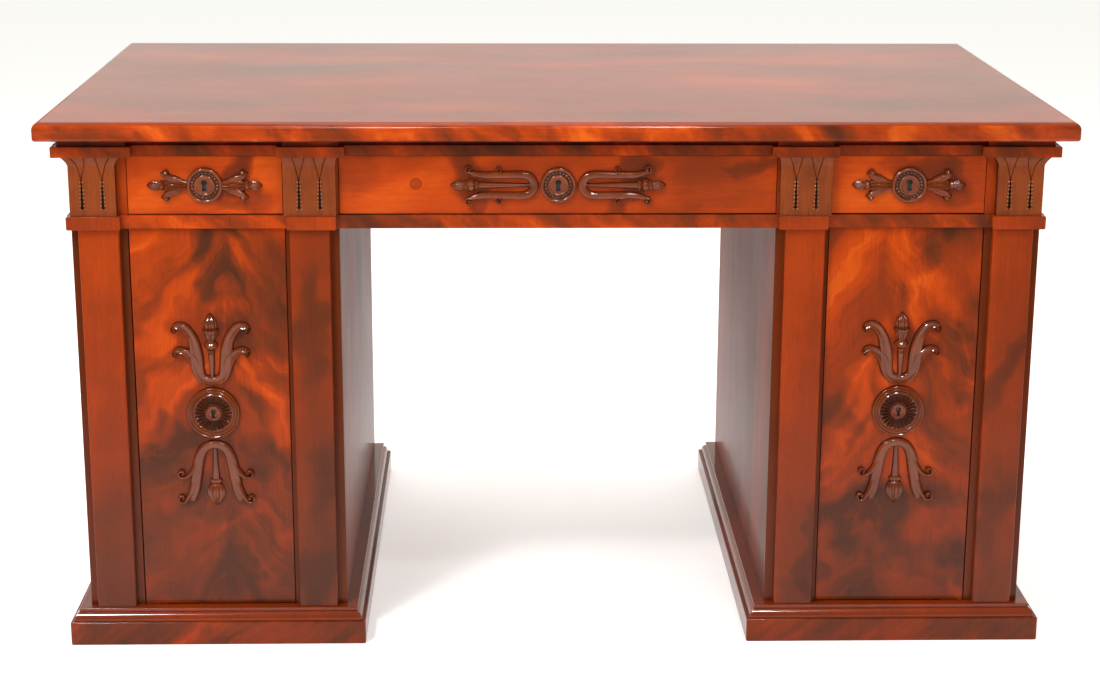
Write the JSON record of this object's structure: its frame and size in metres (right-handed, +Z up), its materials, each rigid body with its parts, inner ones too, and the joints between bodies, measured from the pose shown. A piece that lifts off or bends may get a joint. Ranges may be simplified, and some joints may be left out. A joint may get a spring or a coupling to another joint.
{
  "type": "writing desk",
  "caption": "Pedestal writing desk in flame mahogany: frieze drawers over an open kneehole, a cupboard with a door in each pedestal, carved leaf capitals, rosettes and ornaments.",
  "frame": {"origin": "on the floor, midway along the desk's width and depth", "axes": "+X to the right along the desk's width, +Y to the back (drawers and doors face -Y), +Z up"},
  "size_m": [1.456, 0.832, 0.78],
  "materials": {
    "polished_mahogany": "French-polished mahogany veneer, glossy",
    "flame_mahogany": "French-polished flame-figured mahogany veneer, glossy",
    "carved_mahogany": "carved and waxed mahogany, satin",
    "drawer_oak": "plain oak, unpolished",
    "carcass_pine": "aged pine, unpolished",
    "brass": "worn brass",
    "lock_steel": "filed and oiled steel"
  },
  "bodies": {
    "desk": {"abacus_blocks": "polished_mahogany", "capitals": "carved_mahogany", "cornice_front": "polished_mahogany", "cornice_returns": "polished_mahogany", "desktop": "polished_mahogany", "drawer_guides": "carcass_pine", "drawer_kickers": "carcass_pine", "drawer_partitions": "carcass_pine", "drawer_runners": "carcass_pine", "frieze_back": "polished_mahogany", "frieze_bands": "polished_mahogany", "frieze_posts": "polished_mahogany", "frieze_rail": "polished_mahogany", "frieze_sides": "polished_mahogany", "front_stiles": "polished_mahogany", "left_pedestal_sides": "polished_mahogany", "locating_pegs": "carcass_pine", "necking_blocks": "polished_mahogany", "pedestal_backs": "polished_mahogany", "pedestal_bottoms": "polished_mahogany", "pedestal_shelves": "carcass_pine", "pedestal_tops": "carcass_pine", "pilasters": "polished_mahogany", "pivot_plates": "brass", "plinth_mouldings": "polished_mahogany", "plinths": "polished_mahogany", "right_pedestal_sides": "polished_mahogany", "rod_keepers": "brass"},
    "left_door": {"left_door_panel": "flame_mahogany", "left_door_rosette": "carved_mahogany", "left_door_carvings": "carved_mahogany", "left_door_pivots": "brass", "left_door_lock": "lock_steel"},
    "left_door_upper_rod": {"left_door_upper_rod": "lock_steel"},
    "left_door_lower_rod": {"left_door_lower_rod": "lock_steel"},
    "right_door": {"right_door_panel": "flame_mahogany", "right_door_rosette": "carved_mahogany", "right_door_carvings": "carved_mahogany", "right_door_pivots": "brass", "right_door_lock": "lock_steel"},
    "right_door_upper_rod": {"right_door_upper_rod": "lock_steel"},
    "right_door_lower_rod": {"right_door_lower_rod": "lock_steel"},
    "left_drawer": {"left_drawer_front": "flame_mahogany", "left_drawer_box": "drawer_oak", "left_drawer_bottom": "drawer_oak", "left_drawer_carvings": "carved_mahogany", "left_drawer_lock": "lock_steel"},
    "left_drawer_bolt": {"left_drawer_bolt": "lock_steel"},
    "centre_drawer": {"centre_drawer_front": "flame_mahogany", "centre_drawer_box": "drawer_oak", "centre_drawer_bottom": "drawer_oak", "centre_drawer_carvings": "carved_mahogany", "centre_drawer_lock": "lock_steel"},
    "centre_drawer_bolt": {"centre_drawer_bolt": "lock_steel"},
    "right_drawer": {"right_drawer_front": "flame_mahogany", "right_drawer_box": "drawer_oak", "right_drawer_bottom": "drawer_oak", "right_drawer_carvings": "carved_mahogany", "right_drawer_lock": "lock_steel"},
    "right_drawer_bolt": {"right_drawer_bolt": "lock_steel"}
  },
  "joints": [
    {"name": "left_drawer_slide", "type": "slide", "parent": "desk", "child": "left_drawer", "axis": [0, -1, 0], "range_m": [0, 0.4]},
    {"name": "left_drawer_bolt_slide", "type": "slide", "parent": "left_drawer", "child": "left_drawer_bolt", "axis": [0, 0, 1], "range_m": [0, 0.008]},
    {"name": "centre_drawer_slide", "type": "slide", "parent": "desk", "child": "centre_drawer", "axis": [0, -1, 0], "range_m": [0, 0.4]},
    {"name": "centre_drawer_bolt_slide", "type": "slide", "parent": "centre_drawer", "child": "centre_drawer_bolt", "axis": [0, 0, 1], "range_m": [0, 0.008]},
    {"name": "right_drawer_slide", "type": "slide", "parent": "desk", "child": "right_drawer", "axis": [0, -1, 0], "range_m": [0, 0.4]},
    {"name": "right_drawer_bolt_slide", "type": "slide", "parent": "right_drawer", "child": "right_drawer_bolt", "axis": [0, 0, 1], "range_m": [0, 0.008]},
    {"name": "left_door_hinge", "type": "hinge", "parent": "desk", "child": "left_door", "pos_m": [-0.6044, -0.373, 0.338], "axis": [0, 0, -1], "range_deg": [0, 100]},
    {"name": "left_upper_rod_slide", "type": "slide", "parent": "left_door", "child": "left_door_upper_rod", "axis": [0, 0, 1], "range_m": [0, 0.01]},
    {"name": "left_lower_rod_slide", "type": "slide", "parent": "left_door", "child": "left_door_lower_rod", "axis": [0, 0, -1], "range_m": [0, 0.01]},
    {"name": "right_door_hinge", "type": "hinge", "parent": "desk", "child": "right_door", "pos_m": [0.6044, -0.373, 0.338], "axis": [0, 0, 1], "range_deg": [0, 100]},
    {"name": "right_upper_rod_slide", "type": "slide", "parent": "right_door", "child": "right_door_upper_rod", "axis": [0, 0, 1], "range_m": [0, 0.01]},
    {"name": "right_lower_rod_slide", "type": "slide", "parent": "right_door", "child": "right_door_lower_rod", "axis": [0, 0, -1], "range_m": [0, 0.01]}
  ],
  "couplings": [
    {"joint": "left_lower_rod_slide", "follows": "left_upper_rod_slide", "ratio": 1},
    {"joint": "right_lower_rod_slide", "follows": "right_upper_rod_slide", "ratio": 1}
  ]
}
